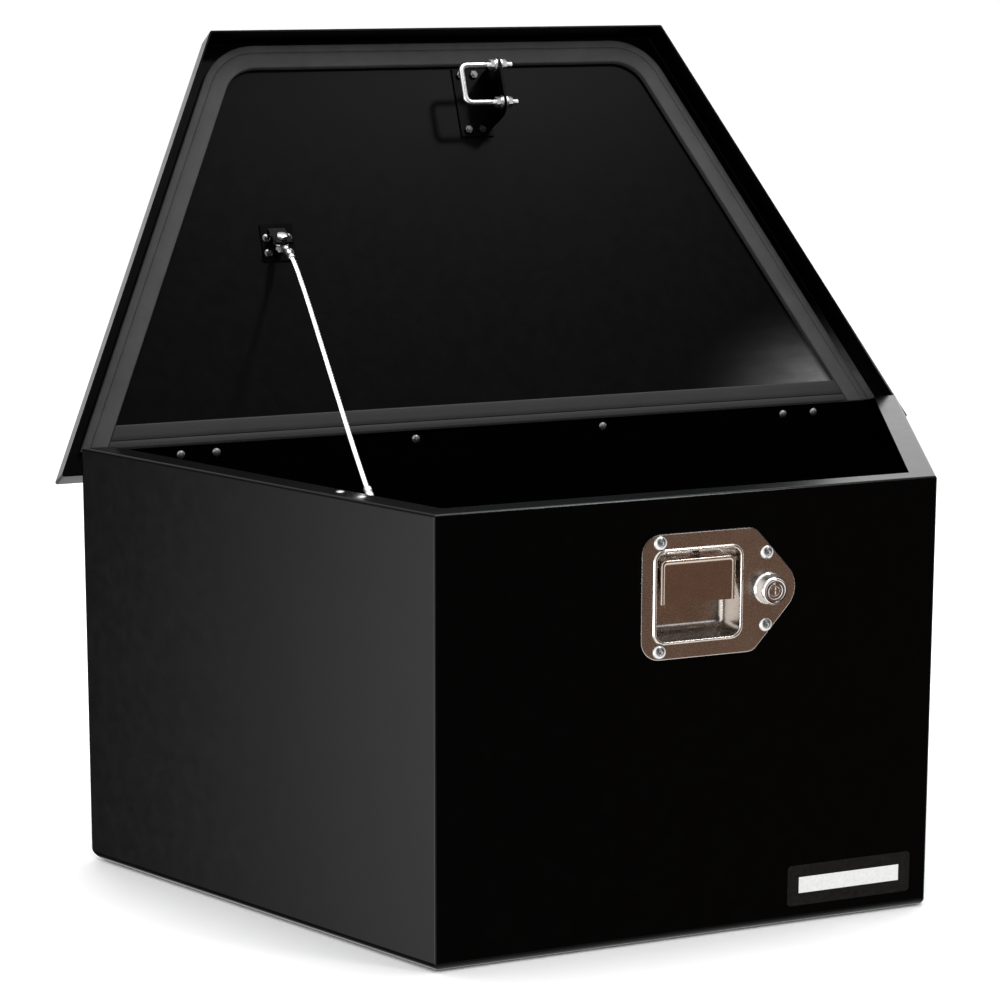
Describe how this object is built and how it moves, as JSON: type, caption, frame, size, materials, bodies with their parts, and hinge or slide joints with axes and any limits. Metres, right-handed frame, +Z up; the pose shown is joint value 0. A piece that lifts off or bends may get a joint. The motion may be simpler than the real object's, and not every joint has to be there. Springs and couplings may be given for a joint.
{
  "type": "trailer tongue tool box",
  "caption": "Black steel tongue box with a trapezoid plan, hinged lid with foam seal and stay cable, and a lockable flush paddle latch with a rotary catch.",
  "frame": {"origin": "centre of the tub's underside, midway between the front and back walls", "axes": "+Z up, +Y from the latch to the hinge, +X to the right of someone who faces the latch"},
  "size_m": [1.0294, 0.7418, 0.8859],
  "materials": {
    "paint": "semi-gloss black powder coat",
    "stainless": "polished stainless",
    "zinc": "bright zinc plate",
    "chrome": "chrome",
    "dark_steel": "black coated steel",
    "foam": "closed-cell foam",
    "gasket": "matte rubber",
    "decal": "plain printed film"
  },
  "bodies": {
    "tub": {"front_panel": "paint", "left_panel": "paint", "right_panel": "paint", "back_panel": "paint", "floor_panel": "paint", "plain_decal": "decal", "hinge_tub_leaf": "dark_steel", "hinge_pin": "zinc", "hinge_tub_rivets": "dark_steel", "stay_cable": "zinc", "cable_tub_eye": "zinc", "cable_tub_bolt": "zinc", "cable_tub_nut": "zinc", "cable_tub_bracket": "dark_steel", "cable_tub_screws": "zinc", "latch_gasket": "gasket", "latch_dish": "stainless", "latch_screws": "zinc", "latch_nuts": "zinc", "paddle_pin": "zinc", "paddle_spring": "zinc", "lock_barrel": "chrome", "lock_nut": "zinc", "latch_frame": "dark_steel", "latch_back_plate": "dark_steel", "frame_spacers": "zinc", "rotor_pin": "zinc", "rotor_spring": "zinc", "pawl_pin": "zinc", "pawl_spring": "zinc"},
    "lid": {"lid_shell": "paint", "lid_seal": "foam", "hinge_lid_leaf": "dark_steel", "hinge_lid_rivets": "dark_steel", "striker_bracket": "dark_steel", "striker_bracket_screws": "dark_steel", "striker_u_bolt": "zinc", "striker_nuts": "zinc", "striker_washers": "zinc", "cable_lid_bracket": "dark_steel", "cable_lid_rivets": "dark_steel", "cable_lid_bolt": "zinc", "cable_lid_nut": "zinc", "cable_lid_eye": "zinc"},
    "paddle": {"paddle": "stainless"},
    "lock": {"lock_plug": "chrome", "lock_cam": "zinc", "lock_cam_nut": "zinc"},
    "rotor": {"rotor": "zinc"},
    "pawl": {"pawl": "zinc"}
  },
  "joints": [
    {"name": "lid_hinge", "type": "hinge", "parent": "tub", "child": "lid", "pos_m": [0, 0.246, 0.432], "axis": [1, 0, 0], "range_deg": [0, 114.4], "deforming": ["stay_cable"]},
    {"name": "paddle_pivot", "type": "hinge", "parent": "tub", "child": "paddle", "pos_m": [0.004, -0.231, 0.387], "axis": [-1, 0, 0], "range_deg": [0, 30], "stiffness_Nm_per_rad": 0.3, "springref_deg": -20.05},
    {"name": "lock_turn", "type": "hinge", "parent": "tub", "child": "lock", "pos_m": [0.0815, -0.239, 0.357], "axis": [0, -1, 0], "range_deg": [0, 90]},
    {"name": "rotor_pivot", "type": "hinge", "parent": "tub", "child": "rotor", "pos_m": [-0.004, -0.18, 0.418], "axis": [0, 1, 0], "range_deg": [0, 56], "stiffness_Nm_per_rad": 0.1, "springref_deg": -20.05},
    {"name": "pawl_pivot", "type": "hinge", "parent": "tub", "child": "pawl", "pos_m": [-0.022, -0.18, 0.3836], "axis": [0, 1, 0], "range_deg": [0, 30]}
  ],
  "couplings": [
    {"joint": "pawl_pivot", "follows": "paddle_pivot", "ratio": 1}
  ]
}
